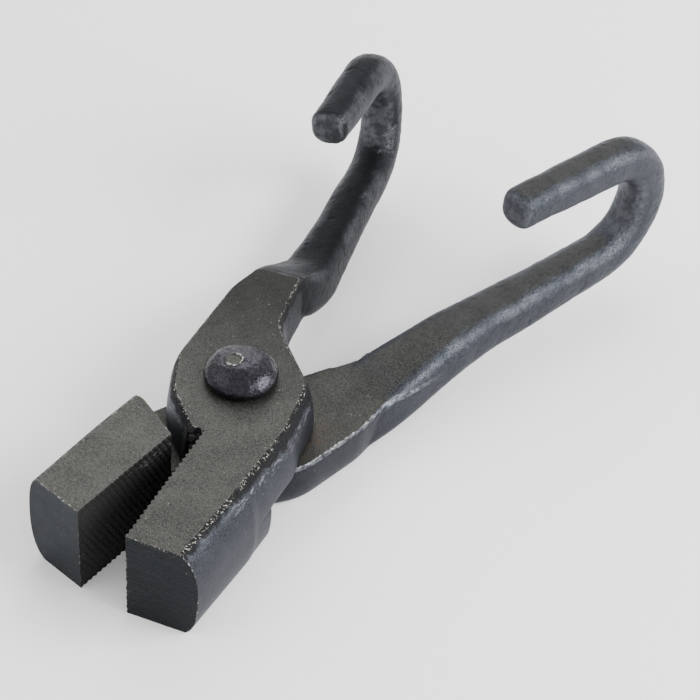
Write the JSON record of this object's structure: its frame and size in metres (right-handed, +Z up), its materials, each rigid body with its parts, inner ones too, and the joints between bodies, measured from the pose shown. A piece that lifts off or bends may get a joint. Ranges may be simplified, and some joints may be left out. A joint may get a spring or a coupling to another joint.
{
  "type": "draw tongs",
  "caption": "Forged pliers-like tongs: deep serrated jaws, lapped bosses on a domed rivet, and long handles whose ends are bent back into hooks.",
  "frame": {"origin": "on the pivot axis, in the plane of the underside of the jaws and of the lower boss", "axes": "+Z up along the pivot axis, towards the rivet's domed head; -Y towards the jaws, along the middle of their opening at rest; +Y towards the handles; +X on the upper arm's jaw side"},
  "size_m": [0.138, 0.2787, 0.0794],
  "materials": {
    "upper_arm_steel": "dark satin black oxide over forged and ground steel",
    "lower_arm_steel": "dark satin black oxide over forged and ground steel",
    "rivet_steel": "semi-gloss black oxide over steel"
  },
  "bodies": {
    "lower": {"lower_arm": "lower_arm_steel", "pivot_rivet": "rivet_steel"},
    "upper": {"upper_arm": "upper_arm_steel"}
  },
  "joints": [
    {"name": "pivot", "type": "hinge", "parent": "lower", "child": "upper", "pos_m": [0, 0, 0], "axis": [0, 0, 1], "range_deg": [-12.2, 28]}
  ]
}
